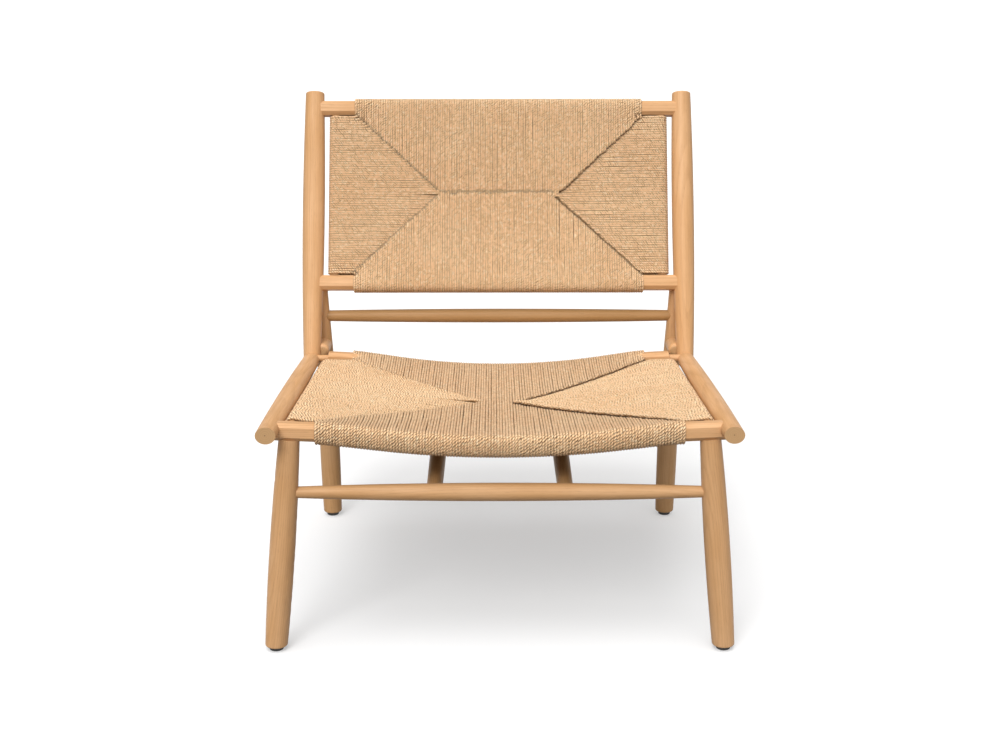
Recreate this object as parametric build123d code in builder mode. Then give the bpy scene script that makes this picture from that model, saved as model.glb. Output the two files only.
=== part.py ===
"""Low armless lounge chair: turned round frame, woven paper-cord seat and back.

Origin: on the floor under the middle of the chair. X runs across to the right of someone
standing in front and facing the chair, Y runs to the back, Z is up. Left and right in the
names are that person's.
"""
from build123d import *
import math
import os

os.makedirs("parts", exist_ok=True)

# ---------------------------------------------------------------- driving dimensions (mm, degrees)
half_spacing = 310.0          # centre plane to the axes of the rails and posts
seat_pitch = 4.7              # the rails fall towards the back
back_lean = 22.65             # the posts lean back from upright

rail_front_y = -355.6
rail_front_z = 331.0
rail_length = 556.0
rail_width_front = 27.5       # the rails are slightly oval and swell in the middle
rail_width_middle = 31.6
rail_width_rear = 27.0
rail_oval = 0.84              # height over width

post_base_y = 168.4           # where the post's axis crosses the rail's axis
post_length = 453.0
post_d_base = 28.0
post_d_middle = 36.8
post_d_top = 31.2
post_tenon_d = 13.0
post_tenon_depth = 5.0        # below the rail's axis
post_edge = 2.0

bar_height = 24.5             # seat and back bars: rounded octagon section
bar_depth = 24.5
bar_chamfer = 5.4
bar_soften = 1.4
bar_tenon_d = 12.0
back_tenon_d = 14.0
back_tenon_length = 40.0
back_tenon_past = 4.0         # the back bars' ends, past the posts' axes
front_bar_y = -311.6
front_bar_drop = 3.0          # front bar axis below the rail's axis
rear_bar_y = 158.4
rear_bar_lift = 2.5
rear_bar_shoulder_x = 281.0   # outside this the rear bar is a round neck
bow_end_x = 238.0             # the seat bars are straight outside this, and dip inside it
bow_end_drop = 3.0
front_bow = (0.115, 1400.0)   # slope of the dip's flanks, radius of its middle
rear_bow = (0.150, 1150.0)
web_bow = (0.132, 1270.0)
bow_ease_radius = 420.0

top_bar_height = 425.4        # along the post from its base
lower_bar_height = 127.5

seat_rod_x = 282.2            # rods inside the woven side edges
back_rod_x = 273.6
side_rod_d = 16.0
side_rod_tenon_d = 9.0
seat_rod_front_lift = -1.0    # the seat's rods fall below the rails towards the back
seat_rod_rear_lift = -7.0
front_tenon_past = 2.0        # how far the front bar's tenons reach past the rails' axes
rear_tenon_clear = 0.5        # between the rear bar's tenons and the posts' own tenons
chamfer_growth = 0.6          # extra chamfer per millimetre of cord over a bar
side_rod_seat = 4.5           # depth of the rods' sockets in the bars
side_rod_clear = 0.5          # between the rods' shoulders and the bars
shoulder_past = 3.0           # a coped round reaches this far past its host's axis
cord_d = 3.6                  # paper cord, pressed slightly flat where it is wound

seat_wrap_front = 249.0       # half width of the cord wound on each bar
seat_wrap_rear = 241.0
back_wrap = 241.5
seat_web_thickness = 7.0      # the two layers of cord between the bars
seat_web_lift = -0.3
seat_web_inset = 6.6          # the web stops clear of the front legs' sockets
back_web_thickness = 12.0

glide_height = 6.0
glide_d = 20.0
glide_pin_d = 3.0
glide_pin_length = 16.0
glide_edge = 1.5
foot_allowance = 8.0          # the legs are turned longer, then cut level

front_foot_x = 315.2
front_leg_splay = 5.57        # the front legs spread towards the floor
front_leg_d_foot = 30.5
front_leg_d_middle = 35.6
front_leg_d_top = 28.5
leg_tenon_d = 14.0
leg_tenon_rise = 5.0          # above the front bar's axis
leg_shoulder_rise = 1.2       # the leg's shoulder laps the bar's lower corners
foot_edge = 2.5

rear_foot_x = 287.0
rear_foot_y = 197.4
rear_top_x = 296.5
rear_top_y = 231.4
rear_top_z = 412.0
rear_leg_radii = ((0.0, 14.9), (0.27, 16.8), (0.70, 13.5), (0.89, 9.9), (1.0, 8.2))

front_stretcher_z = 235.0
rear_stretcher_z = 230.0
front_stretcher_d_end = 14.8
front_stretcher_d_middle = 25.2
rear_stretcher_d_end = 15.0
rear_stretcher_d_middle = 22.0
crossbar_z = 347.0
crossbar_d_end = 18.0
crossbar_d_middle = 23.5
stretcher_tenon_d = 11.0
stretcher_tenon_past = 6.0    # tenons end this far past the leg's axis

brace_x = 90.0                # two braces run front to back under the seat
brace_d_end = 21.5
brace_d_middle = 24.0
brace_tenon_d = 10.0

block_x = 293.5               # short round from beside the post back to the rear leg
block_z = 300.0
block_d = 23.0
block_dome = 7.0
block_gap = 1.4               # clear of the rear bar

pin_z = 389.0                 # dowel that fastens the rear leg to the post
pin_d = 8.0
pin_length = 34.0
pin_head_out = 9.5            # from the leg's axis back to the dowel's outer end

SIDES = (("left", -1), ("right", 1))

# ---------------------------------------------------------------- frames and derived places
pitch = math.radians(seat_pitch)
lean = math.radians(back_lean)
splay = math.radians(front_leg_splay)
post_base_z = rail_front_z - (post_base_y - rail_front_y) * math.tan(pitch)
post_up = Vector(0, math.sin(lean), math.cos(lean))

# seat frame: x across, y back along the rails, z square to them
SEAT = Plane(
    origin=(0, rail_front_y, rail_front_z),
    x_dir=(1, 0, 0),
    z_dir=(0, math.sin(pitch), math.cos(pitch)),
)
# back frame: x across, y up along the posts, z out of the front of the back
BACK = Plane(
    origin=(0, post_base_y, post_base_z),
    x_dir=(1, 0, 0),
    z_dir=(0, -math.cos(lean), math.sin(lean)),
)
front_tenon_x = half_spacing + front_tenon_past
rear_tenon_x = half_spacing - post_tenon_d / 2 - rear_tenon_clear
front_bar_s = (front_bar_y - rail_front_y) / math.cos(pitch)
rear_bar_s = (rear_bar_y - rail_front_y) / math.cos(pitch)


def seat_point(x, s, height=0.0):
    """A point given across, along and square to the rails."""
    return SEAT.from_local_coords(Vector(x, s, height))


def back_point(x, up, out=0.0):
    """A point given across, up and square to the posts."""
    return BACK.from_local_coords(Vector(x, up, out))


def front_leg_point(sign, z):
    """The front leg's axis at height z."""
    return Vector(sign * (front_foot_x - z * math.tan(splay)), front_bar_y, z)


def rear_leg_point(sign, z):
    """The rear leg's axis at height z."""
    t = z / rear_top_z
    x = rear_foot_x + (rear_top_x - rear_foot_x) * t
    return Vector(sign * x, rear_foot_y + (rear_top_y - rear_foot_y) * t, z)


def seat_rod_ends(sign):
    """The seat's side rod, from socket to socket in the facing sides of the seat bars."""
    inset = bar_depth / 2 - side_rod_seat
    front_end = seat_point(sign * seat_rod_x, front_bar_s + inset, seat_rod_front_lift)
    rear_end = seat_point(sign * seat_rod_x, rear_bar_s - inset, seat_rod_rear_lift)
    return front_end, rear_end


def back_rod_ends(sign):
    """The back's side rod, from socket to socket in the facing sides of the back bars."""
    inset = bar_height / 2 - side_rod_seat
    low_end = back_point(sign * back_rod_x, lower_bar_height + inset)
    high_end = back_point(sign * back_rod_x, top_bar_height - inset)
    return low_end, high_end


def brace_ends(sign):
    """The brace, from just past the front stretcher's axis to just past the rear one's."""
    front_y = front_leg_point(sign, front_stretcher_z).Y - shoulder_past
    rear_y = rear_leg_point(sign, rear_stretcher_z).Y + shoulder_past
    front_end = Vector(sign * brace_x, front_y, front_stretcher_z)
    rear_end = Vector(sign * brace_x, rear_y, rear_stretcher_z)
    return front_end, rear_end


def pin_direction(sign):
    """From the rear leg's axis to the post's axis, at the dowel's height."""
    post_y = post_base_y + (pin_z - post_base_z) * math.tan(lean)
    leg_at = rear_leg_point(sign, pin_z)
    return (Vector(sign * half_spacing, post_y, pin_z) - leg_at).normalized()


def pin_start(sign):
    """The outer end of the dowel, flush with the back of the rear leg."""
    return rear_leg_point(sign, pin_z) - pin_direction(sign) * pin_head_out


def profile_plane(start, end):
    """A plane that holds the line from start to end as its x axis."""
    along = (end - start).normalized()
    upright = Vector(0, 0, 1) if abs(along.Z) < 0.9 else Vector(0, 1, 0)
    return Plane(origin=start, x_dir=along, z_dir=along.cross(upright).normalized())


def turned(start, end, d_start, d_middle, d_end):
    """A turned round from start to end that swells in the middle."""
    length = (end - start).length
    with BuildSketch(profile_plane(start, end)) as outline:
        with BuildLine():
            Line((0, 0), (0, d_start / 2))
            ThreePointArc((0, d_start / 2), (length / 2, d_middle / 2), (length, d_end / 2))
            Line((length, d_end / 2), (length, 0))
            Line((length, 0), (0, 0))
        make_face()
    revolve(outline.sketch, axis=Axis(start, end - start))


def peg(start, toward, diameter, length, mode=Mode.ADD):
    """A round peg from start, or with Mode.SUBTRACT the hole for it."""
    with BuildSketch(Plane(origin=start, z_dir=toward)) as section:
        Circle(diameter / 2)
    extrude(section.sketch, amount=length, mode=mode)


def bar_section(plane, grow=0.0):
    """The rounded octagon section of the bars; its height runs along the plane's y."""
    with BuildSketch(plane) as section:
        Rectangle(bar_depth + 2 * grow, bar_height + 2 * grow)
        chamfer(vertices(), bar_chamfer + grow * chamfer_growth)
        fillet(vertices(), bar_soften + grow)
    return section.sketch


def bow_points(half_width, s, lift, slope):
    """Corner points of the dipped line that a seat bar follows, from side to side."""
    end_slope = bow_end_drop / (half_spacing - bow_end_x)
    half = (
        (half_width, (half_spacing - half_width) * end_slope),
        (bow_end_x, bow_end_drop),
        (0.0, bow_end_drop + bow_end_x * slope),
    )
    corners = [(-x, drop) for x, drop in half] + [(x, drop) for x, drop in half[1::-1]]
    return [seat_point(x, s, lift - drop) for x, drop in corners]


def bow_path(half_width, s, lift, bow):
    """The dipped line as straight runs joined by tangent arcs."""
    slope, radius = bow
    return FilletPolyline(
        *bow_points(half_width, s, lift, slope),
        radius=[bow_ease_radius, radius, bow_ease_radius],
    )


def start_plane(path):
    """The plane square to a path at its start, with y up."""
    along = path % 0
    return Plane(origin=path @ 0, x_dir=along.cross(SEAT.z_dir) * -1, z_dir=along)


def finish(builder, name):
    """Label a finished piece and write it."""
    builder.part.label = name
    export_step(builder.part, f"parts/{name}.step")


# ---------------------------------------------------------------- turned blanks, before their mortises
rail_blanks = {}
post_blanks = {}
front_leg_blanks = {}
rear_leg_blanks = {}
front_bar_z = seat_point(0, front_bar_s, -front_bar_drop).Z
for side, sign in SIDES:
    with BuildPart() as rail_blank:
        for t, width in ((0, rail_width_front), (0.5, rail_width_middle), (1, rail_width_rear)):
            at = seat_point(sign * half_spacing, rail_length * t)
            with BuildSketch(Plane(origin=at, x_dir=(1, 0, 0), z_dir=SEAT.y_dir)):
                Ellipse(width / 2, width * rail_oval / 2)
        loft()
    rail_blanks[side] = rail_blank

    with BuildPart() as post_blank:
        base = back_point(sign * half_spacing, 0)
        top = back_point(sign * half_spacing, post_length)
        turned(base, top, post_d_base, post_d_middle, post_d_top)
        fillet(edges().filter_by(GeomType.CIRCLE).sort_by(Axis.Z)[-1], post_edge)
        add(rail_blank.part, mode=Mode.SUBTRACT)
    post_blanks[side] = post_blank

    with BuildPart() as front_leg_blank:
        foot = front_leg_point(sign, -foot_allowance)
        head = front_leg_point(sign, front_bar_z - bar_height / 2 + leg_shoulder_rise)
        turned(foot, head, front_leg_d_foot, front_leg_d_middle, front_leg_d_top)
        split(bisect_by=Plane.XY.offset(glide_height), keep=Keep.TOP)
        fillet(edges().group_by(Axis.Z)[0], foot_edge)
        add(rail_blank.part, mode=Mode.SUBTRACT)
    front_leg_blanks[side] = front_leg_blank

    with BuildPart() as rear_leg_blank:
        foot = rear_leg_point(sign, -foot_allowance)
        head = rear_leg_point(sign, rear_top_z)
        length = (head - foot).length
        plane = profile_plane(foot, head)
        with BuildSketch(plane):
            with BuildLine():
                Line((0, 0), (0, rear_leg_radii[0][1]))
                Spline(*[(t * length, r) for t, r in rear_leg_radii])
                Line((length, rear_leg_radii[-1][1]), (length, 0))
                Line((length, 0), (0, 0))
            make_face()
        revolve(axis=Axis(foot, head - foot))
        split(bisect_by=Plane.XY.offset(glide_height), keep=Keep.TOP)
        fillet(edges().group_by(Axis.Z)[0], foot_edge)
        add(post_blank.part, mode=Mode.SUBTRACT)
    rear_leg_blanks[side] = rear_leg_blank

# ---------------------------------------------------------------- seat bars, dipped in the middle
bars = {}
for name, place, lift, bow, body_end, tenon_end in (
    ("front_seat_bar", front_bar_s, -front_bar_drop, front_bow, half_spacing, front_tenon_x),
    ("rear_seat_bar", rear_bar_s, rear_bar_lift, rear_bow, rear_bar_shoulder_x, rear_tenon_x),
):
    is_front = name == "front_seat_bar"
    with BuildPart() as bar:
        with BuildLine() as dip:
            bow_path(body_end, place, lift, bow)
        sweep(bar_section(start_plane(dip.line)), path=dip.line)
        for side, sign in SIDES:
            add(rail_blanks[side].part, mode=Mode.SUBTRACT)
        for side, sign in SIDES:
            outward = Vector(sign, 0, 0)
            tenon_root = seat_point(sign * (half_spacing - rail_width_middle), place, lift)
            reach = tenon_end - half_spacing + rail_width_middle
            peg(tenon_root, outward, bar_tenon_d, reach)
            add(post_blanks[side].part, mode=Mode.SUBTRACT)
            front_end, rear_end = seat_rod_ends(sign)
            peg(front_end, rear_end - front_end, side_rod_tenon_d,
                (rear_end - front_end).length, Mode.SUBTRACT)
            if is_front:
                mortise_top = front_leg_point(sign, front_bar_z + leg_tenon_rise)
                down = front_leg_point(sign, 0) - mortise_top
                peg(mortise_top, down, leg_tenon_d, bar_height, Mode.SUBTRACT)
    bars[name] = bar
    finish(bar, name)

# ---------------------------------------------------------------- seat rails
for side, sign in SIDES:
    inward = Vector(-sign, 0, 0)
    with BuildPart() as rail:
        add(rail_blanks[side].part)
        mortise = back_point(sign * half_spacing, -post_tenon_depth)
        peg(mortise, post_up, post_tenon_d, bar_height, Mode.SUBTRACT)
        front_end = seat_point(sign * front_tenon_x, front_bar_s, -front_bar_drop)
        peg(front_end, inward, bar_tenon_d, rail_width_middle, Mode.SUBTRACT)
        rear_end = seat_point(sign * rear_tenon_x, rear_bar_s, rear_bar_lift)
        peg(rear_end, inward, bar_tenon_d, rail_width_middle, Mode.SUBTRACT)
    finish(rail, f"seat_rail_{side}")

# ---------------------------------------------------------------- bars of the back
for name, height in (("top_back_bar", top_bar_height), ("lower_back_bar", lower_bar_height)):
    with BuildPart() as bar:
        half_width = half_spacing + back_tenon_past
        start = back_point(-half_width, height)
        section_plane = Plane(origin=start, x_dir=BACK.z_dir, z_dir=(1, 0, 0))
        extrude(bar_section(section_plane), amount=half_width)
        add(post_blanks["left"].part, mode=Mode.SUBTRACT)
        peg(start, Vector(1, 0, 0), back_tenon_d, back_tenon_length)
        mirror(about=Plane.YZ)
        for sign in (-1, 1):
            low_end, high_end = back_rod_ends(sign)
            peg(low_end, high_end - low_end, side_rod_tenon_d,
                (high_end - low_end).length, Mode.SUBTRACT)
    bars[name] = bar
    finish(bar, name)

# ---------------------------------------------------------------- posts, with their tenons and mortises
for side, sign in SIDES:
    inward = Vector(-sign, 0, 0)
    with BuildPart() as post:
        add(post_blanks[side].part)
        peg(back_point(sign * half_spacing, -post_tenon_depth), post_up, post_tenon_d, bar_height)
        for height in (top_bar_height, lower_bar_height):
            at = back_point(sign * (half_spacing + back_tenon_past), height)
            peg(at, inward, back_tenon_d, post_d_middle, Mode.SUBTRACT)
        peg(pin_start(sign), pin_direction(sign), pin_d, pin_length, Mode.SUBTRACT)
    finish(post, f"back_post_{side}")

    with BuildPart() as pin:
        peg(pin_start(sign), pin_direction(sign), pin_d, pin_length)
    finish(pin, f"leg_pin_{side}")

# ---------------------------------------------------------------- cross stretchers between the legs
stretcher_blanks = {}
for name, legs, leg_point, z, d_end, d_middle in (
    ("front_stretcher", front_leg_blanks, front_leg_point, front_stretcher_z,
     front_stretcher_d_end, front_stretcher_d_middle),
    ("rear_stretcher", rear_leg_blanks, rear_leg_point, rear_stretcher_z,
     rear_stretcher_d_end, rear_stretcher_d_middle),
    ("rear_crossbar", rear_leg_blanks, rear_leg_point, crossbar_z,
     crossbar_d_end, crossbar_d_middle),
):
    left_end = leg_point(-1, z)
    right_end = leg_point(1, z)
    past = Vector(shoulder_past, 0, 0)
    tenon_past = Vector(stretcher_tenon_past, 0, 0)
    span = right_end - left_end
    with BuildPart() as blank:
        turned(left_end - past, right_end + past, d_end, d_middle, d_end)
        split(bisect_by=Plane.YZ, keep=Keep.BOTTOM)
        add(legs["left"].part, mode=Mode.SUBTRACT)
        mirror(about=Plane.YZ)
    with BuildPart() as stretcher:
        add(blank.part)
        peg(left_end - tenon_past, span, stretcher_tenon_d, (span + tenon_past * 2).length)
        if name != "rear_crossbar":
            for sign in (-1, 1):
                front_end, rear_end = brace_ends(sign)
                run = rear_end - front_end
                peg(front_end, run, brace_tenon_d, run.length, Mode.SUBTRACT)
    stretcher_blanks[name] = blank
    finish(stretcher, name)

# ---------------------------------------------------------------- legs
for side, sign in SIDES:
    outward = Vector(sign, 0, 0)
    with BuildPart() as front_leg:
        add(front_leg_blanks[side].part)
        add(bars["front_seat_bar"].part, mode=Mode.SUBTRACT)
        tenon_top = front_leg_point(sign, front_bar_z + leg_tenon_rise)
        down = front_leg_point(sign, 0) - tenon_top
        peg(tenon_top, down, leg_tenon_d, bar_height)
        peg(front_leg_point(sign, front_stretcher_z) + outward * stretcher_tenon_past,
            -outward, stretcher_tenon_d, front_leg_d_middle, Mode.SUBTRACT)
        peg(front_leg_point(sign, glide_height), Vector(0, 0, 1),
            glide_pin_d, glide_pin_length, Mode.SUBTRACT)
    finish(front_leg, f"front_leg_{side}")

    with BuildPart() as rear_leg:
        add(rear_leg_blanks[side].part)
        add(bars["lower_back_bar"].part, mode=Mode.SUBTRACT)
        for z in (rear_stretcher_z, crossbar_z):
            peg(rear_leg_point(sign, z) + outward * stretcher_tenon_past,
                -outward, stretcher_tenon_d, front_leg_d_middle, Mode.SUBTRACT)
        peg(pin_start(sign), pin_direction(sign), pin_d, pin_length, Mode.SUBTRACT)
        peg(rear_leg_point(sign, glide_height), Vector(0, 0, 1),
            glide_pin_d, glide_pin_length, Mode.SUBTRACT)
    finish(rear_leg, f"rear_leg_{side}")

# ---------------------------------------------------------------- braces under the seat, front to back
for side, sign in SIDES:
    with BuildPart() as brace:
        front_end, rear_end = brace_ends(sign)
        run = rear_end - front_end
        turned(front_end, rear_end, brace_d_end, brace_d_middle, brace_d_end)
        add(stretcher_blanks["front_stretcher"].part, mode=Mode.SUBTRACT)
        add(stretcher_blanks["rear_stretcher"].part, mode=Mode.SUBTRACT)
        peg(front_end, run, brace_tenon_d, run.length)
    finish(brace, f"seat_brace_{side}")

# ---------------------------------------------------------------- blocks between seat corner and leg
for side, sign in SIDES:
    with BuildPart() as block:
        start = Vector(sign * block_x, rear_bar_y + bar_depth / 2 + block_gap, block_z)
        peg(start, Vector(0, 1, 0), block_d, rear_leg_point(sign, block_z).Y - start.Y)
        fillet(edges().group_by(Axis.Y)[0], block_dome)
        for solid in (rail_blanks[side], post_blanks[side]):
            add(solid.part, mode=Mode.SUBTRACT)
        add(rear_leg_blanks[side].part, mode=Mode.SUBTRACT)
    finish(block, f"leg_block_{side}")

# ---------------------------------------------------------------- side rods inside the woven edges
rods = []
for side, sign in SIDES:
    for name, ends in (("seat", seat_rod_ends(sign)), ("back", back_rod_ends(sign))):
        start, end = ends
        shoulder = (end - start).normalized() * (side_rod_seat + side_rod_clear)
        with BuildPart() as rod:
            body = end - start - shoulder * 2
            peg(start + shoulder, body, side_rod_d, body.length)
            peg(start, body, side_rod_tenon_d, (end - start).length)
        rods.append(rod)
        finish(rod, f"{name}_side_rod_{side}")

# ---------------------------------------------------------------- woven seat: cord round bars and rods
sleeve_d = side_rod_d + 2 * cord_d
sleeves = []
for half_width, place, lift, bow in (
    (seat_wrap_front, front_bar_s, -front_bar_drop, front_bow),
    (seat_wrap_rear, rear_bar_s, rear_bar_lift, rear_bow),
):
    with BuildPart() as sleeve:
        with BuildLine() as dip:
            bow_path(half_spacing, place, lift, bow)
        sweep(bar_section(start_plane(dip.line), cord_d), path=dip.line)
        split(bisect_by=Plane.YZ.offset(half_width), keep=Keep.BOTTOM)
        split(bisect_by=Plane.YZ.offset(-half_width), keep=Keep.TOP)
    sleeves.append(sleeve)

with BuildPart() as seat_weave:
    with BuildLine() as dip:
        bow_path(seat_rod_x - seat_web_inset, (front_bar_s + rear_bar_s) / 2, seat_web_lift,
                 web_bow)
    plane = start_plane(dip.line)
    with BuildSketch(plane) as web:
        Rectangle(rear_bar_s - front_bar_s, seat_web_thickness)
    sweep(web.sketch, path=dip.line)
    for sleeve in sleeves:
        add(sleeve.part)
    for sign in (-1, 1):
        start, end = seat_rod_ends(sign)
        run = end - start
        inset = run.normalized() * (cord_d + side_rod_seat)
        peg(start + inset, run, sleeve_d, run.length - 2 * inset.length)
    for piece in (bars["front_seat_bar"], bars["rear_seat_bar"], rods[0], rods[2]):
        add(piece.part, mode=Mode.SUBTRACT)
finish(seat_weave, "seat_weave")

# ---------------------------------------------------------------- woven back
with BuildPart() as back_weave:
    middle = (top_bar_height + lower_bar_height) / 2
    with BuildSketch(Plane(origin=back_point(0, middle, -back_web_thickness / 2), x_dir=(1, 0, 0),
                           z_dir=BACK.z_dir)) as web:
        Rectangle(2 * back_rod_x, top_bar_height - lower_bar_height)
    extrude(web.sketch, amount=back_web_thickness)
    for height in (top_bar_height, lower_bar_height):
        start = back_point(-back_wrap, height)
        section_plane = Plane(origin=start, x_dir=BACK.z_dir, z_dir=(1, 0, 0))
        extrude(bar_section(section_plane, cord_d), amount=2 * back_wrap)
    for sign in (-1, 1):
        start = back_point(sign * back_rod_x, lower_bar_height + bar_height / 2 + cord_d)
        run = top_bar_height - lower_bar_height - bar_height - 2 * cord_d
        peg(start, post_up, sleeve_d, run)
    for piece in (bars["top_back_bar"], bars["lower_back_bar"], rods[1], rods[3]):
        add(piece.part, mode=Mode.SUBTRACT)
finish(back_weave, "back_weave")

# ---------------------------------------------------------------- nail-on floor glides
for name, leg_point in (("front", front_leg_point), ("rear", rear_leg_point)):
    for side, sign in SIDES:
        at = leg_point(sign, glide_height)
        with BuildPart() as glide:
            with BuildSketch(Plane.XY):
                with Locations((at.X, at.Y)):
                    Circle(glide_d / 2)
            extrude(amount=glide_height)
            fillet(edges().group_by(Axis.Z)[0], glide_edge)
            peg(at, Vector(0, 0, 1), glide_pin_d, glide_pin_length)
        finish(glide, f"glide_{name}_{side}")
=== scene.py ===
"""Looks of the low lounge chair: oiled pale oak frame, seat and back woven from twisted paper cord.

All lengths are metres, in the frame of the CAD model. The woven panels are built strand by strand.
"""

import math

import bmesh
import bpy
import numpy as np
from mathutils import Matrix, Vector
from mathutils.bvhtree import BVHTree


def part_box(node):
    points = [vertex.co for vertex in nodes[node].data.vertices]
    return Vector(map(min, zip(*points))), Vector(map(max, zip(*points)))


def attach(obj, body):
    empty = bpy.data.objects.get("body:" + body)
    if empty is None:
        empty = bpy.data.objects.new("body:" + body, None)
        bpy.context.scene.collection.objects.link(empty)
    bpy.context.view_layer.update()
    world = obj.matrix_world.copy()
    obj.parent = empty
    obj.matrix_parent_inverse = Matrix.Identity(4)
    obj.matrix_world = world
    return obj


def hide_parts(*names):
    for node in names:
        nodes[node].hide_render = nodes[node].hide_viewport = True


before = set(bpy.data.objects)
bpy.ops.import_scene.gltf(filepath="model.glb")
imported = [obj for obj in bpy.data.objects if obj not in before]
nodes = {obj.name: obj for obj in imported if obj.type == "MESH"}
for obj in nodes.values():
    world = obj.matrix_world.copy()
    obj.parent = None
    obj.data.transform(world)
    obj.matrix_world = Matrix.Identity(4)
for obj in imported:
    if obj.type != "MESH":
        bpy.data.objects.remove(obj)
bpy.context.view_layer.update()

# ---------------------------------------------------------------- driving sizes
CORD_PITCH = 0.0040           # from strand to strand
CORD_RISE = 0.0018            # half the thickness of a strand where it is wound tight
CORD_SIDE = 0.00212           # half its width
STRAND_WANDER = 0.00022       # spread of a strand's sideways wander
WANDER_KNOTS = 4
STRAND_SIDES = 8
TWIST_LENGTH = 0.0040         # along the strand from ply to ply
TWIST_PLIES = 3.0
TWIST_SPREAD = 9.0            # per metre, how much the lay differs from strand to strand
WIDTH_RANGE = (0.96, 1.05)    # a strand's width and height, as shares of the usual
HEIGHT_RANGE = (0.97, 1.06)

BAR_HALF = 0.01225            # the bars' section, half across the flats
BAR_CHAMFER = 0.0054
ROD_RADIUS = 0.0080
ROD_WRAP_POINTS = 9
BAR_EDGE_LAP = 0.42           # share of the cord's rise that a strand gains at the bars' chamfers
BAR_EDGE_BULGE = 0.0008
BAR_TABLE_HALF = 0.27         # each bar's height is measured this far to both sides
BAR_TABLE_POINTS = 109
PROBE_HEIGHT = 0.10           # from this far above it

BAR_STOPS = (0.3, 0.55, 0.8)  # where a strand's path has points, from its crossing to the bar or rod
FIRST_STOP = 0.006
SHORTEST_RUN = 0.02
STRAND_SAG = 0.0006
CROSSING_FADE = 6             # the crossing's lift is gone a sixth of the way along
RISE_CURVE = 0.8
DIVE_STEPS = ((0.0022, -0.0030), (0.0012, -0.0008))   # past its end a strand goes down between the layers

OVER_LIFT = 0.0024            # how far the strands on top stand out at a crossing
OVER_REACH = 0.0018           # and how far past it they run
UNDER_LIFT = -0.0020          # the strands below lie deeper
UNDER_REACH = -0.0006         # and stop short of it
SEAM_REACH = -0.0030          # and still shorter at the seam between the mitres
REACH_SCATTER = 0.0011
OVER_SHADE = (0.85, 0.25)     # shade of a strand's segments, from its end
UNDER_SHADE = (1.0, 0.95, 0.30)
END_DEPTH = 0.0010            # what counts as a member's end, when its axis is found

WORLD_LIGHT = 0.50
WORLD_ABOVE = (1.0, 1.0, 1.0)
WORLD_BELOW = (0.10, 0.075, 0.05)
FLOOR_GLOW = 0.38             # lifts the shadow under the chair, as in a white studio
FLOOR_HALF = 60.0
SUNS = (                      # name, direction, strength, spread in degrees
    ("overhead", (0.10, 0.22, -1.0), 1.75, 45),
    ("front", (0.30, 0.80, -0.72), 1.45, 26),
    ("low_front", (-0.15, 1.0, -0.12), 0.75, 50),
)

CAMERA_LENS = 54.0
CAMERA_PLACE = (-0.0087, -2.2306, 0.970)
CAMERA_DOWN = 16.5            # degrees below level
CAMERA_YAW = -0.26

rng = np.random.default_rng(20)


# ---------------------------------------------------------------- reading the frame
def axis_of(node):
    """The two ends of a round, on its axis, the end with the lower Y first."""
    co = np.array([v.co for v in nodes[node].data.vertices])
    direction = np.linalg.svd(co - co.mean(0), full_matrices=False)[2][0]
    if direction[1] < 0:
        direction = -direction
    along = co @ direction
    ends = []
    for at_end in (along < along.min() + END_DEPTH, along > along.max() - END_DEPTH):
        cap = co[at_end]
        ends.append(Vector((cap.min(0) + cap.max(0)) / 2))
    return ends


def surface_of(node):
    mesh = bmesh.new()
    mesh.from_mesh(nodes[node].data)
    tree = BVHTree.FromBMesh(mesh)
    mesh.free()
    return tree


class Panel:
    """One woven panel: u across the chair, v from the first bar to the second, w out of it."""

    def __init__(self, along, rod, bars, wraps, apex, rises, gaps, crossing_over):
        start, end = axis_of(along)
        self.v_dir = (end - start).normalized()
        self.w_dir = Vector((1, 0, 0)).cross(self.v_dir)      # to the side that a sitter touches
        self.origin = Vector((0, start.y, start.z))
        self.trees = [surface_of(bar) for bar in bars]
        self.bar_v = [self.bar_place(bar) for bar in bars]
        self.rod = [self.local(end) for end in axis_of(rod)]
        self.rod_u = abs(self.rod[0][0])
        self.wraps = wraps                    # half width of the cord on each bar
        self.apex = apex                      # u where the mitres meet
        self.corner_rises = rises[:2]         # height of the crossings over the middle layer
        self.apex_rise = rises[2]
        self.gaps = gaps                      # bare rod between each bar and the side strands
        self.crossing_over = crossing_over
        self.bar_w_table = [self.bar_heights(index) for index in (0, 1)]

    def bar_place(self, bar):
        """The bar's v: the middle of its extent along v."""
        co = [v.co - self.origin for v in nodes[bar].data.vertices]
        v = [c.dot(self.v_dir) for c in co]
        return (min(v) + max(v)) / 2

    def bar_heights(self, index):
        """The bar's axis height w at a row of u, found on its upper surface."""
        us = np.linspace(-BAR_TABLE_HALF, BAR_TABLE_HALF, BAR_TABLE_POINTS)
        ws = []
        for u in us:
            above = self.point(u, self.bar_v[index], PROBE_HEIGHT)
            hit = self.trees[index].ray_cast(above, -self.w_dir)[0]
            ws.append((hit - self.origin).dot(self.w_dir) - BAR_HALF)
        return us, np.array(ws)

    def point(self, u, v, w):
        return self.origin + Vector((u, 0, 0)) + self.v_dir * v + self.w_dir * w

    def local(self, place):
        at = place - self.origin
        return at.x, at.dot(self.v_dir), at.dot(self.w_dir)

    def rod_w(self, v):
        (_, v0, w0), (_, v1, w1) = self.rod
        return w0 + (w1 - w0) * (v - v0) / (v1 - v0)

    def bar_w(self, index, u):
        us, ws = self.bar_w_table[index]
        return float(np.interp(u, us, ws))

    def middle_w(self, u, v):
        """Height of the middle layer between the bars."""
        t = (v - self.bar_v[0]) / (self.bar_v[1] - self.bar_v[0])
        return self.bar_w(0, u) * (1 - t) + self.bar_w(1, u) * t


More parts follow.
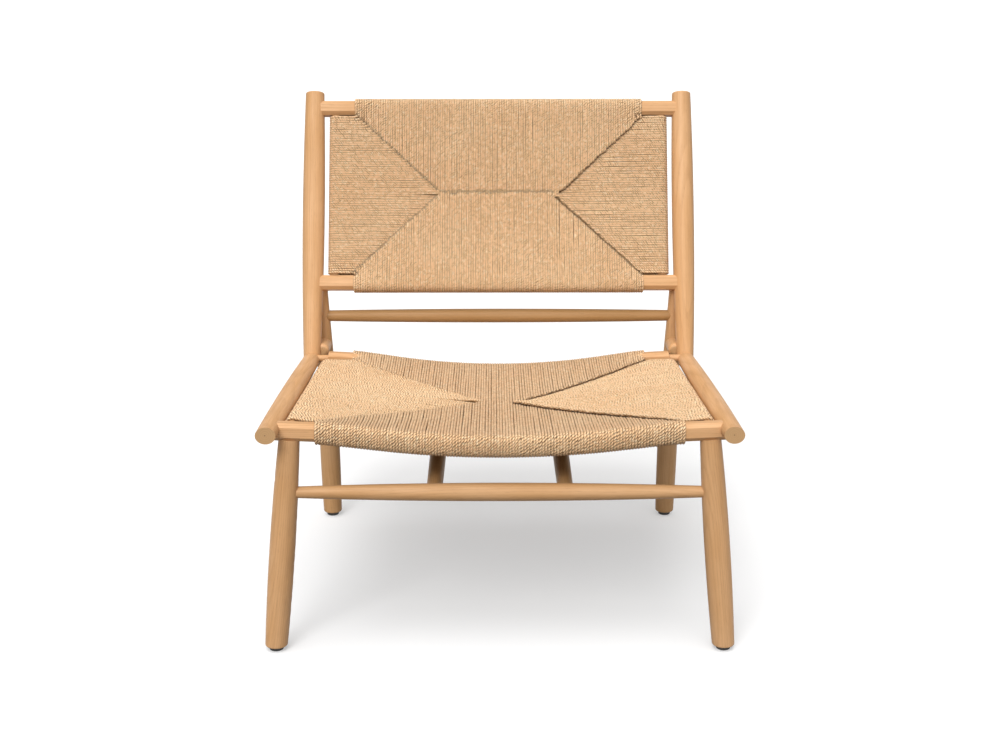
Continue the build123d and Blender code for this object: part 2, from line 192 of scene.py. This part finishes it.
# ---------------------------------------------------------------- strands
class Weave:
    """Collects strands as one mesh of tubes, with UVs along and round each strand."""

    def __init__(self, panel):
        self.panel = panel
        self.verts = []
        self.faces = []
        self.uvs = []
        self.tones = []
        self.painted_dive_shades = []
        self.count = 0

    def strand(self, path, lateral, end_shade):
        """A tube through path points (u, v, w), flattened a little; lateral is its side direction.

        end_shade gives how much painted shade darkens the first segments from each end, where the strand
        goes down between the layers.
        """
        pts = np.array([self.panel.point(*p) for p in path])
        side = np.array(self.panel.point(*lateral) - self.panel.origin)
        side /= np.linalg.norm(side)
        step = np.zeros_like(pts)
        step[1:-1] = pts[2:] - pts[:-2]
        step[0] = pts[1] - pts[0]
        step[-1] = pts[-1] - pts[-2]
        step /= np.linalg.norm(step, axis=1)[:, None]
        up = np.cross(np.broadcast_to(side, step.shape), step)
        up /= np.linalg.norm(up, axis=1)[:, None]
        across = np.cross(step, up)
        width = CORD_SIDE * rng.uniform(*WIDTH_RANGE)
        height = CORD_RISE * rng.uniform(*HEIGHT_RANGE)
        turn = np.linspace(0, 2 * math.pi, STRAND_SIDES, endpoint=False)
        ring = (pts[:, None, :] + across[:, None, :] * (np.cos(turn) * width)[None, :, None]
                + up[:, None, :] * (np.sin(turn) * height)[None, :, None])
        lengths = np.concatenate([[0], np.cumsum(np.linalg.norm(np.diff(pts, axis=0), axis=1))])
        offset = rng.uniform(0, 1)
        tone = rng.normal(0, 1)
        base = self.count
        n = len(pts)
        self.verts.append(ring.reshape(-1, 3))
        self.count += n * STRAND_SIDES
        for i in range(n - 1):
            from_end = min(i, n - 2 - i)
            painted_dive_shade = end_shade[from_end] if from_end < len(end_shade) else 0.0
            for j in range(STRAND_SIDES):
                k = (j + 1) % STRAND_SIDES
                self.painted_dive_shades.append(painted_dive_shade)
                self.faces.append((base + i * STRAND_SIDES + j, base + i * STRAND_SIDES + k,
                                   base + (i + 1) * STRAND_SIDES + k, base + (i + 1) * STRAND_SIDES + j))
                u0, u1 = lengths[i] + offset, lengths[i + 1] + offset
                v0, v1 = j / STRAND_SIDES, (j + 1) / STRAND_SIDES
                self.uvs.extend(((u0, v0), (u0, v1), (u1, v1), (u1, v0)))
                self.tones.append(tone)
        for i, order in ((0, -1), (n - 1, 1)):
            cap = tuple(base + i * STRAND_SIDES + j for j in range(STRAND_SIDES))[::order]
            self.faces.append(cap)
            self.uvs.extend((lengths[i] + offset, 0.0) for _ in cap)
            self.tones.append(tone)
            self.painted_dive_shades.append(end_shade[0])

    def build(self, name):
        mesh = bpy.data.meshes.new(name)
        mesh.from_pydata(np.concatenate(self.verts).tolist(), [], self.faces)
        layer = mesh.uv_layers.new(name="strand")
        layer.data.foreach_set("uv", np.array(self.uvs, np.float32).ravel())
        for attribute, values in (("tone", self.tones), ("painted_dive_shade", self.painted_dive_shades)):
            layer = mesh.attributes.new(attribute, "FLOAT", "FACE")
            layer.data.foreach_set("value", np.array(values, np.float32))
        mesh.polygons.foreach_set("use_smooth", [True] * len(mesh.polygons))
        mesh.update()
        obj = bpy.data.objects.new(name, mesh)
        bpy.context.scene.collection.objects.link(obj)
        return obj


def bar_wrap(out):
    """Points (v, w) round the outside of a bar, from its face to its underside, at strand height."""
    flat = BAR_HALF + CORD_RISE
    edge = BAR_HALF - BAR_CHAMFER + CORD_RISE * BAR_EDGE_LAP
    middle = (flat + edge) / 2 + BAR_EDGE_BULGE
    quarter = [(0.0, flat), (edge, flat), (middle, middle), (flat, edge)]
    half = quarter + [(flat, 0.0)] + [(v, -w) for v, w in quarter[::-1]]
    return [(v * out, w) for v, w in half]


def rod_wrap(out):
    """Points (u, w) round the outside of a side rod."""
    radius = ROD_RADIUS + CORD_RISE
    turns = np.radians(np.linspace(90, -90, ROD_WRAP_POINTS))
    return [(out * radius * math.cos(a), radius * math.sin(a)) for a in turns]


def wander(count):
    """A slow random offset along a strand, at its path's points."""
    knots = rng.normal(0, STRAND_WANDER, WANDER_KNOTS)
    return np.interp(np.linspace(0, WANDER_KNOTS - 1, count), range(WANDER_KNOTS), knots)


def path_stops(run):
    """Shares of the way from a strand's end to its bar or rod."""
    return (FIRST_STOP / max(run, SHORTEST_RUN), *BAR_STOPS)


def crossing_lift(lift, share):
    """What is left, this far along, of the lift that a strand has at its crossing."""
    return lift * max(0, 1 - share * CROSSING_FADE)


def weave_panel(panel, name):
    """All the strands of one panel: first those over the two bars, then those over the side rods."""
    weave = Weave(panel)
    inner = [panel.bar_v[0] + BAR_HALF, panel.bar_v[1] - BAR_HALF]
    side_edges = [inner[0] + CORD_RISE + panel.gaps[0], inner[1] - CORD_RISE - panel.gaps[1]]
    span = side_edges[1] - side_edges[0]
    half_rows = int(round(span / CORD_PITCH / 2))
    side_pitch = span / (2 * half_rows)

    def crossing_rise(index, t):
        corner = panel.corner_rises[index]
        return corner + (panel.apex_rise - corner) * min(max(t, 0.0), 1.0) ** RISE_CURVE

    # strands over the two bars
    for index, out in ((0, -1), (1, 1)):
        wrap = panel.wraps[index]
        columns = int(round(2 * wrap / CORD_PITCH))
        pitch = 2 * wrap / columns
        mitre_rows = (wrap - panel.apex) / pitch
        for c in range(columns):
            u = -wrap + (c + 0.5) * pitch
            sign = -1 if u < 0 else 1
            row = (wrap - abs(u)) / pitch - 0.5
            t = row / mitre_rows
            on_mitre = t < 1
            reach = min(t, 1) * half_rows * side_pitch
            over = panel.crossing_over[(index, sign)] if on_mitre else index == 0
            rise = crossing_rise(index, t)
            stop_v = side_edges[index] - out * reach
            lift = OVER_LIFT if over else UNDER_LIFT
            over_reach = OVER_REACH if over else (UNDER_REACH if on_mitre else SEAM_REACH)
            over_reach += rng.normal(0, REACH_SCATTER)
            bar_v = panel.bar_v[index]
            bar_w = panel.bar_w(index, u)
            end_v = stop_v - out * over_reach
            # from the dive up to the crossing, then along to the bar
            half_path = [(end_v - out * past, rise + lift + drop) for past, drop in DIVE_STEPS]
            half_path.append((end_v, rise + lift))
            top_w = BAR_HALF + CORD_RISE
            for s in path_stops(abs(end_v - bar_v)):
                v = end_v + (bar_v - end_v) * s
                sag = -STRAND_SAG * math.sin(math.pi * s)
                half_path.append((v, rise + (top_w - rise) * s + sag + crossing_lift(lift, s)))
            du = wander(len(half_path))
            top = []
            for (v, h), d in zip(half_path, du):
                top.append((u + d, v, panel.middle_w(u, v) + h))
            under = [(2 * u - tu, tv, 2 * panel.middle_w(u, tv) - tw) for tu, tv, tw in top]
            wraps = [(u, bar_v + v, bar_w + w) for v, w in bar_wrap(out)]
            weave.strand(top + wraps + under[::-1], (1, 0, 0), OVER_SHADE if over else UNDER_SHADE)

    # strands over the two side rods
    for sign in (-1, 1):
        for r in range(2 * half_rows):
            v = side_edges[0] + (r + 0.5) * side_pitch
            index = 0 if r < half_rows else 1
            row = r if index == 0 else 2 * half_rows - 1 - r
            t = (row + 0.5) / half_rows
            wrap = panel.wraps[index]
            cross_u = wrap - t * (wrap - panel.apex)
            over = not panel.crossing_over[(index, sign)]
            rise = crossing_rise(index, t)
            lift = OVER_LIFT if over else UNDER_LIFT
            over_reach = (OVER_REACH if over else UNDER_REACH) + rng.normal(0, REACH_SCATTER)
            end_u = cross_u - over_reach
            cross_w = panel.middle_w(cross_u, v)
            rod_w = panel.rod_w(v)
            rod_rise = ROD_RADIUS + CORD_RISE
            heights = [(end_u - past, cross_w + rise + lift + drop) for past, drop in DIVE_STEPS]
            heights.append((end_u, cross_w + rise + lift))
            run = panel.rod_u - end_u
            for s in path_stops(run):
                u = end_u + run * s
                w = (cross_w + rise) * (1 - s) + (rod_w + rod_rise) * s
                heights.append((u, w + crossing_lift(lift, s)))
            dv = wander(len(heights))
            top = [(sign * u, v + d, w) for (u, w), d in zip(heights, dv)]
            under = []
            for (u, w), d in zip(heights, dv):
                s = min(max((u - end_u) / run, 0), 1)
                base = cross_w * (1 - s) + rod_w * s
                under.append((sign * u, v - d, 2 * base - w))
            wraps = [(sign * panel.rod_u + u, v, rod_w + w) for u, w in rod_wrap(sign)]
            weave.strand(top + wraps + under[::-1], (0, 1, 0), OVER_SHADE if over else UNDER_SHADE)
    return weave.build(name)


# ---------------------------------------------------------------- materials
def new_material(name):
    material = bpy.data.materials.new(name)
    material.use_nodes = True
    tree = material.node_tree
    tree.nodes.clear()
    output = tree.nodes.new("ShaderNodeOutputMaterial")
    shader = tree.nodes.new("ShaderNodeBsdfPrincipled")
    tree.links.new(shader.outputs["BSDF"], output.inputs["Surface"])
    return material, tree, shader


class Nodes:
    """Short calls for building a node tree."""

    def __init__(self, tree):
        self.tree = tree

    def link(self, value, socket):
        if isinstance(value, bpy.types.NodeSocket):
            self.tree.links.new(value, socket)
        else:
            socket.default_value = value

    def math(self, operation, a, b=0.0, c=None, clamp=False):
        node = self.tree.nodes.new("ShaderNodeMath")
        node.operation = operation
        node.use_clamp = clamp
        self.link(a, node.inputs[0])
        self.link(b, node.inputs[1])
        if c is not None:
            self.link(c, node.inputs[2])
        return node.outputs[0]

    def noise(self, vector, scale, detail=2.0, roughness=0.5):
        node = self.tree.nodes.new("ShaderNodeTexNoise")
        self.link(vector, node.inputs["Vector"])
        node.inputs["Scale"].default_value = scale
        node.inputs["Detail"].default_value = detail
        node.inputs["Roughness"].default_value = roughness
        return node.outputs["Fac"]

    def ramp(self, value, low, high, low_out=0.0, high_out=1.0):
        node = self.tree.nodes.new("ShaderNodeMapRange")
        node.clamp = True
        node.interpolation_type = "SMOOTHSTEP"
        self.link(value, node.inputs["Value"])
        limits = {"From Min": low, "From Max": high, "To Min": low_out, "To Max": high_out}
        for name, number in limits.items():
            node.inputs[name].default_value = number
        return node.outputs["Result"]

    def mix(self, factor, a, b, blend="MIX"):
        node = self.tree.nodes.new("ShaderNodeMix")
        node.data_type = "RGBA"
        node.blend_type = blend
        self.link(factor, node.inputs[0])
        for value, socket in ((a, node.inputs[6]), (b, node.inputs[7])):
            if isinstance(value, tuple):
                value = (*value, 1.0)
            self.link(value, socket)
        return node.outputs[2]

    def separate(self, vector):
        node = self.tree.nodes.new("ShaderNodeSeparateXYZ")
        self.link(vector, node.inputs[0])
        return node.outputs

    def combine(self, x, y, z):
        node = self.tree.nodes.new("ShaderNodeCombineXYZ")
        for value, socket in zip((x, y, z), node.inputs):
            self.link(value, socket)
        return node.outputs[0]

    def bump(self, height, strength, distance):
        node = self.tree.nodes.new("ShaderNodeBump")
        node.inputs["Strength"].default_value = strength
        node.inputs["Distance"].default_value = distance
        self.link(height, node.inputs["Height"])
        return node.outputs["Normal"]


OAK_LIGHT = (0.700, 0.412, 0.208)
OAK_MID = (0.625, 0.345, 0.152)
OAK_DARK = (0.400, 0.195, 0.068)
OAK_PORE = (0.300, 0.145, 0.055)
OAK_PAINTED_SHADE = (0.260, 0.135, 0.030)
END_LIGHT = (0.500, 0.300, 0.140)
END_DARK = (0.340, 0.180, 0.075)
PITH = (0.160, 0.080, 0.030)
RING_WIDTH = 0.0026
GRAIN_SLIDE = 3.0             # how far the grain pattern may be slid along, so that no two members match
RAIL_PITH = (0.0005, 0.0004)  # the rails' rings are centred near their axes
PITH_SPREAD = 0.05            # elsewhere the rings' centre may be this far off
# painted shade: how far each member that gets less light is darkened from the usual oak
PAINTED_MEMBER_SHADE = {
    "rear_crossbar": 0.55,
    "seat_brace_left": 0.40,
    "seat_brace_right": 0.40,
    "front_stretcher": 0.14,
    "rear_leg_left": 0.20,
    "rear_leg_right": 0.20,
}


def oak(name, start, end, pith, painted_member_shade):
    """Oak whose grain runs from start to end; pith is the centre of its rings across the axis."""
    material, tree, shader = new_material(name)
    n = Nodes(tree)
    coords = tree.nodes.new("ShaderNodeTexCoord")
    along = (end - start).normalized()
    turn = along.to_track_quat("Z", "Y").inverted()
    move = turn @ start
    mapping = tree.nodes.new("ShaderNodeMapping")
    mapping.inputs["Rotation"].default_value = turn.to_euler("XYZ")
    slide = rng.uniform(0, GRAIN_SLIDE)
    mapping.inputs["Location"].default_value = (-move.x - pith[0], -move.y - pith[1], -move.z + slide)
    tree.links.new(coords.outputs["Object"], mapping.inputs["Vector"])
    x, y, z = n.separate(mapping.outputs["Vector"])

    # growth rings, drifting slowly along the member
    warp = n.noise(n.combine(x, y, n.math("MULTIPLY", z, 0.18)), 14.0, 2.0, 0.5)
    drift = n.math("MULTIPLY", n.math("SUBTRACT", warp, 0.5), 0.020)
    radius = n.math("SQRT", n.math("ADD", n.math("MULTIPLY", x, x), n.math("MULTIPLY", y, y)))
    ring = n.math("FRACT", n.math("MULTIPLY", n.math("ADD", radius, drift), 1 / RING_WIDTH))
    late = n.ramp(ring, 0.45, 0.98)
    early = n.ramp(ring, 0.0, 0.10, 1.0, 0.0)
    rings = n.math("MAXIMUM", late, early)

    # fine fibres and pores, drawn out along the grain
    fibre = n.noise(n.combine(x, y, n.math("MULTIPLY", z, 0.022)), 900.0, 3.0, 0.65)
    streak = n.noise(n.combine(x, y, n.math("MULTIPLY", z, 0.035)), 210.0, 3.0, 0.6)
    pore_noise = n.noise(n.combine(x, y, n.math("MULTIPLY", z, 0.055)), 1500.0, 1.0, 0.4)
    pore_share = n.math("ADD", n.math("MULTIPLY", rings, 0.6), 0.4)
    pore = n.math("MULTIPLY", n.ramp(pore_noise, 0.60, 0.72), pore_share)
    cloud = n.noise(n.combine(x, y, n.math("MULTIPLY", z, 0.35)), 16.0, 3.0, 0.55)

    colour = n.mix(n.ramp(cloud, 0.30, 0.70), OAK_MID, OAK_LIGHT)
    colour = n.mix(n.math("MULTIPLY", rings, 0.20), colour, OAK_DARK)
    colour = n.mix(n.math("MULTIPLY", n.ramp(streak, 0.42, 0.74), 0.22), colour, OAK_DARK)
    colour = n.mix(n.math("MULTIPLY", n.ramp(fibre, 0.35, 0.75), 0.16), colour, OAK_DARK)
    colour = n.mix(n.math("MULTIPLY", pore, 0.30), colour, OAK_PORE)
    # painted shade: members that get less light are darkened
    colour = n.mix(painted_member_shade, colour, OAK_PAINTED_SHADE)

    # end grain is darker, with a small pith
    dot = tree.nodes.new("ShaderNodeVectorMath")
    dot.operation = "DOT_PRODUCT"
    tree.links.new(coords.outputs["Normal"], dot.inputs[0])
    dot.inputs[1].default_value = along
    end_face = n.ramp(n.math("ABSOLUTE", dot.outputs["Value"]), 0.80, 0.97)
    end_tone = n.mix(n.math("MULTIPLY", rings, 0.35), END_LIGHT, END_DARK)
    pith_dot = n.ramp(radius, 0.0006, 0.0014, 1.0, 0.0)
    end_tone = n.mix(n.math("MULTIPLY", pith_dot, 0.75), end_tone, PITH)
    colour = n.mix(end_face, colour, end_tone)
    n.link(colour, shader.inputs["Base Color"])

    grain = n.math("ADD", n.math("MULTIPLY", streak, 0.6), n.math("MULTIPLY", fibre, 0.4))
    n.link(n.ramp(grain, 0.3, 0.7, 0.42, 0.60), shader.inputs["Roughness"])
    shader.inputs["Specular IOR Level"].default_value = 0.35
    height = n.math("SUBTRACT", n.math("MULTIPLY", fibre, 0.5), n.math("MULTIPLY", pore, 0.9))
    n.link(n.bump(height, 0.35, 0.0003), shader.inputs["Normal"])
    return material


CORD_PAINTED_HIGHLIGHT = (0.985, 0.760, 0.490)
CORD_LIGHT = (0.960, 0.660, 0.385)
CORD_MID = (0.900, 0.565, 0.305)
CORD_DARK = (0.300, 0.135, 0.036)
CORD_PAINTED_SHADE = (0.120, 0.055, 0.018)
PLY_RELIEF = 0.0018


def paper_cord(name):
    """Natural paper cord: twisted plies with painted shade in their grooves and in the gaps from strand
    to strand, pale specks as painted highlights, and painted shade on strand ends that go down between
    the layers.
    """
    material, tree, shader = new_material(name)
    n = Nodes(tree)
    uv = tree.nodes.new("ShaderNodeUVMap")
    uv.uv_map = "strand"
    along, around, _ = n.separate(uv.outputs["UV"])
    tone = tree.nodes.new("ShaderNodeAttribute")
    tone.attribute_name = "tone"
    strand_tone = tone.outputs["Fac"]
    object_at = tree.nodes.new("ShaderNodeTexCoord").outputs["Object"]

    # plies: slanting grooves, a little uneven in length and depth
    wobble = n.math("MULTIPLY", n.noise(object_at, 110.0, 1.0), 1.1)
    lay = n.math("MULTIPLY", along, n.math("MULTIPLY_ADD", strand_tone, TWIST_SPREAD, 1 / TWIST_LENGTH))
    turns = n.math("MULTIPLY_ADD", around, TWIST_PLIES, lay)
    saw = n.math("FRACT", n.math("ADD", turns, wobble))
    ply = n.math("SINE", n.math("MULTIPLY", saw, math.pi))
    painted_groove_shade = n.ramp(ply, 0.05, 0.75, 1.0, 0.0)
    uneven = n.ramp(n.noise(object_at, 200.0, 2.0, 0.6), 0.42, 0.60, 0.05, 1.0)

    # painted shade in the gap between neighbouring strands, open in places and closed in others
    side = n.math("ABSOLUTE", n.math("COSINE", n.math("MULTIPLY", around, 2 * math.pi)))
    line = n.ramp(side, 0.62, 0.93)
    opening_at = n.combine(n.math("MULTIPLY", along, 26.0), n.math("MULTIPLY", strand_tone, 40.0), 0.0)
    opening = n.ramp(n.noise(opening_at, 1.0, 2.0, 0.6), 0.38, 0.60, 0.35, 1.0)

    # creases of the twisted paper, along each ply, and pale specks, painted highlights on the knobbly
    # plies
    crease_at = n.combine(saw, n.math("MULTIPLY", along, 30.0), around)
    crease = n.noise(crease_at, 7.0, 3.0, 0.6)
    speck = n.noise(object_at, 240.0, 2.0, 0.6)
    cloud = n.noise(object_at, 9.0, 3.0, 0.55)

    colour = n.mix(n.ramp(cloud, 0.3, 0.7, 0.2, 0.9), CORD_MID, CORD_LIGHT)
    colour = n.mix(n.math("MULTIPLY_ADD", strand_tone, 0.12, 0.18, clamp=True), colour, CORD_MID)
    colour = n.mix(n.math("MULTIPLY", n.ramp(crease, 0.42, 0.75), 0.16), colour, CORD_DARK)
    # painted highlights: pale specks where light would catch the plies
    colour = n.mix(n.math("MULTIPLY", n.ramp(speck, 0.54, 0.64), 0.85), colour, CORD_PAINTED_HIGHLIGHT)
    # painted shade in the grooves between the plies
    colour = n.mix(n.math("MULTIPLY", painted_groove_shade, uneven), colour, CORD_DARK)
    # painted shade in the gaps between strands
    colour = n.mix(n.math("MULTIPLY", n.math("MULTIPLY", line, opening), 0.85), colour, CORD_DARK)
    # painted shade on the strands' ends, where they go down between the layers
    painted_dive_shade = tree.nodes.new("ShaderNodeAttribute")
    painted_dive_shade.attribute_name = "painted_dive_shade"
    colour = n.mix(painted_dive_shade.outputs["Fac"], colour, CORD_PAINTED_SHADE)
    n.link(colour, shader.inputs["Base Color"])
    shader.inputs["Roughness"].default_value = 0.80
    shader.inputs["Specular IOR Level"].default_value = 0.22
    shader.inputs["Sheen Weight"].default_value = 0.10
    height = n.math("ADD", n.math("POWER", ply, 0.6), n.math("MULTIPLY", crease, 0.35))
    n.link(n.bump(height, 1.0, PLY_RELIEF), shader.inputs["Normal"])
    return material


GLIDE_DARK = (0.030, 0.028, 0.026)
GLIDE_SCUFFED = (0.070, 0.064, 0.058)


def glide_plastic(name):
    """Black plastic, a little scuffed."""
    material, tree, shader = new_material(name)
    n = Nodes(tree)
    object_at = tree.nodes.new("ShaderNodeTexCoord").outputs["Object"]
    speck = n.noise(object_at, 900.0, 2.0, 0.6)
    scuff = n.noise(object_at, 160.0, 3.0, 0.6)
    colour = n.mix(n.ramp(scuff, 0.45, 0.75), GLIDE_DARK, GLIDE_SCUFFED)
    n.link(colour, shader.inputs["Base Color"])
    n.link(n.ramp(scuff, 0.3, 0.7, 0.45, 0.70), shader.inputs["Roughness"])
    n.link(n.bump(speck, 0.25, 0.0002), shader.inputs["Normal"])
    return material


def assign(obj, material):
    obj.data.materials.clear()
    obj.data.materials.append(material)


def member_ends(name):
    """The line that the grain of a wooden node follows."""
    low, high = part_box(name)
    if name.endswith("bar") or "stretcher" in name:
        middle = (low + high) / 2
        return Vector((low.x, middle.y, middle.z)), Vector((high.x, middle.y, middle.z))
    return axis_of(name)


# ---------------------------------------------------------------- wooden members and glides
for name, obj in sorted(nodes.items()):
    if name.endswith("weave"):
        continue
    if name.startswith("glide"):
        assign(obj, glide_plastic(f"{name}_plastic"))
        continue
    start, end = member_ends(name)
    if name.startswith("seat_rail"):
        pith = RAIL_PITH
    else:
        pith = tuple(rng.uniform(-PITH_SPREAD, PITH_SPREAD, 2))
    assign(obj, oak(f"{name}_oak", start, end, pith, PAINTED_MEMBER_SHADE.get(name, 0.0)))

# ---------------------------------------------------------------- woven seat and back
cord_material = paper_cord("paper_cord_strands")
# which strands cross on top at each corner: True where those over the bar do
corners = {(0, -1): True, (0, 1): False, (1, -1): False, (1, 1): True}
seat_panel = Panel("seat_rail_left", "seat_side_rod_left", ("front_seat_bar", "rear_seat_bar"),
                   wraps=(0.249, 0.241), apex=0.024, rises=(0.0095, 0.0026, 0.0036),
                   gaps=(0.0020, 0.0014), crossing_over=corners)
back_panel = Panel("back_side_rod_left", "back_side_rod_left", ("lower_back_bar", "top_back_bar"),
                   wraps=(0.2415, 0.2415), apex=0.0976, rises=(0.0085, 0.0085, 0.0036),
                   gaps=(0.0006, 0.0004), crossing_over=corners)
for panel, name, node in (
    (seat_panel, "woven_seat", "seat_weave"),
    (back_panel, "woven_back", "back_weave"),
):
    woven = weave_panel(panel, name)
    assign(woven, cord_material)
    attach(woven, "root")
    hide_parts(node)

# ---------------------------------------------------------------- floor, light and camera
def plain_floor():
    """A wide pale floor that throws no light back up at the chair."""
    material, tree, shader = new_material("studio_white")
    n = Nodes(tree)
    object_at = tree.nodes.new("ShaderNodeTexCoord").outputs["Object"]
    tint = n.noise(object_at, 0.8, 1.0)
    n.link(n.mix(n.math("MULTIPLY", tint, 0.02), (0.60, 0.60, 0.60), (0.58, 0.58, 0.59)),
           shader.inputs["Base Color"])
    shader.inputs["Emission Color"].default_value = (1.0, 1.0, 1.0, 1.0)
    shader.inputs["Emission Strength"].default_value = FLOOR_GLOW
    shader.inputs["Roughness"].default_value = 0.9
    shader.inputs["Specular IOR Level"].default_value = 0.0
    mesh = bpy.data.meshes.new("studio_floor")
    corners = [(-FLOOR_HALF, -FLOOR_HALF, 0), (FLOOR_HALF, -FLOOR_HALF, 0),
               (FLOOR_HALF, FLOOR_HALF, 0), (-FLOOR_HALF, FLOOR_HALF, 0)]
    mesh.from_pydata(corners, [], [(0, 1, 2, 3)])
    floor = bpy.data.objects.new("studio_floor", mesh)
    bpy.context.scene.collection.objects.link(floor)
    assign(floor, material)
    floor.visible_diffuse = False


def studio_world():
    """White light from above, little from below, as over a dark studio floor."""
    world = bpy.data.worlds.new("studio")
    world.use_nodes = True
    tree = world.node_tree
    n = Nodes(tree)
    background = tree.nodes["Background"]
    _, _, up = n.separate(tree.nodes.new("ShaderNodeTexCoord").outputs["Generated"])
    n.link(n.mix(n.ramp(up, -0.25, 0.10), WORLD_BELOW, WORLD_ABOVE), background.inputs["Color"])
    background.inputs["Strength"].default_value = WORLD_LIGHT
    bpy.context.scene.world = world


def sun(name, direction, strength, spread):
    light = bpy.data.lights.new(name, "SUN")
    light.energy = strength
    light.angle = math.radians(spread)
    obj = bpy.data.objects.new(name, light)
    obj.rotation_euler = Vector(direction).to_track_quat("-Z", "Y").to_euler()
    bpy.context.scene.collection.objects.link(obj)


plain_floor()
studio_world()
for light in SUNS:
    sun(*light)

camera_data = bpy.data.cameras.new("camera")
camera_data.lens = CAMERA_LENS
camera_data.sensor_width = 36.0
camera_data.clip_end = 60.0
camera = bpy.data.objects.new("camera", camera_data)
camera.location = CAMERA_PLACE
camera.rotation_euler = (math.radians(90 - CAMERA_DOWN), 0, math.radians(CAMERA_YAW))
bpy.context.scene.collection.objects.link(camera)
bpy.context.scene.camera = camera
bpy.context.scene.view_settings.view_transform = "Standard"
